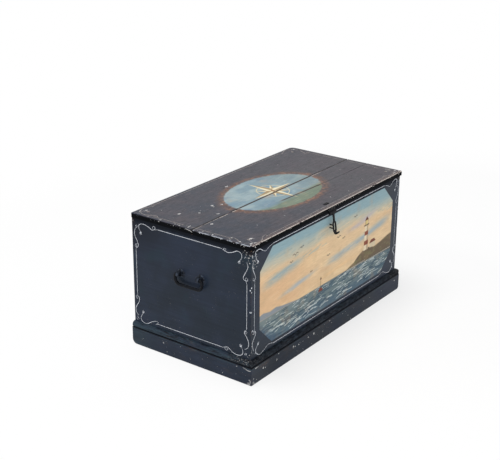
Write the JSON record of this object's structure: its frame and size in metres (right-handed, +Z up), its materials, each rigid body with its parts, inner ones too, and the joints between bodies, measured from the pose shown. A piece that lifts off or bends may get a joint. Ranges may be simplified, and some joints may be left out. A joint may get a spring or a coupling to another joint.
{
  "type": "sea chest",
  "caption": "Painted dovetailed sea chest with a moulded plinth, flat hinged lid, iron hasp and staple, and a drop handle on each end; small till inside.",
  "frame": {"origin": "on the floor plane, under the middle of the carcass (its length and depth without plinth and lid overhang)", "axes": "+X runs along the front from its left end to its right end, the front with the hasp faces -Y, +Z is up"},
  "size_m": [0.943, 0.5191, 0.4622],
  "materials": {
    "painted_wood": "worn dark oil paint, satin",
    "lid_paint": "worn grey oil paint, satin",
    "bare_wood": "bare aged pine",
    "iron": "dark forged iron"
  },
  "bodies": {
    "chest": {"carcass_front": "painted_wood", "carcass_back": "painted_wood", "carcass_left": "painted_wood", "carcass_right": "painted_wood", "bottom_board_front": "bare_wood", "bottom_board_middle": "bare_wood", "bottom_board_back": "bare_wood", "plinth_front": "painted_wood", "plinth_left": "painted_wood", "plinth_right": "painted_wood", "till_front": "bare_wood", "till_bottom": "bare_wood", "staple": "iron", "hinge_leaf_left": "iron", "hinge_leaf_right": "iron", "hinge_pin_left": "iron", "hinge_pin_right": "iron", "hinge_nails_back": "iron", "eye_left_front": "iron", "rose_left_front": "iron", "rove_left_front": "iron", "eye_left_back": "iron", "rose_left_back": "iron", "rove_left_back": "iron", "eye_right_front": "iron", "rose_right_front": "iron", "rove_right_front": "iron", "eye_right_back": "iron", "rose_right_back": "iron", "rove_right_back": "iron"},
    "lid": {"lid_board_front": "lid_paint", "lid_board_back": "lid_paint", "batten_left": "bare_wood", "batten_right": "bare_wood", "hinge_strap_left": "iron", "hinge_strap_right": "iron", "hinge_nails_lid": "iron", "hasp_plate": "iron", "hasp_pin": "iron", "hasp_spikes": "iron", "hasp_rove": "iron"},
    "hasp": {"hasp": "iron"},
    "bail_left": {"bail_left": "iron"},
    "bail_right": {"bail_right": "iron"}
  },
  "joints": [
    {"name": "lid_hinge", "type": "hinge", "parent": "chest", "child": "lid", "pos_m": [0, 0.2425, 0.441], "axis": [-1, 0, 0], "range_deg": [0, 110]},
    {"name": "hasp_hinge", "type": "hinge", "parent": "lid", "child": "hasp", "pos_m": [-0.016, -0.2462, 0.44], "axis": [-1, 0, 0], "range_deg": [-15, 125]},
    {"name": "bail_left_swing", "type": "hinge", "parent": "chest", "child": "bail_left", "pos_m": [-0.463, -0.005, 0.301], "axis": [0, 1, 0], "range_deg": [-12, 160]},
    {"name": "bail_right_swing", "type": "hinge", "parent": "chest", "child": "bail_right", "pos_m": [0.463, -0.005, 0.301], "axis": [0, -1, 0], "range_deg": [-12, 160]}
  ]
}
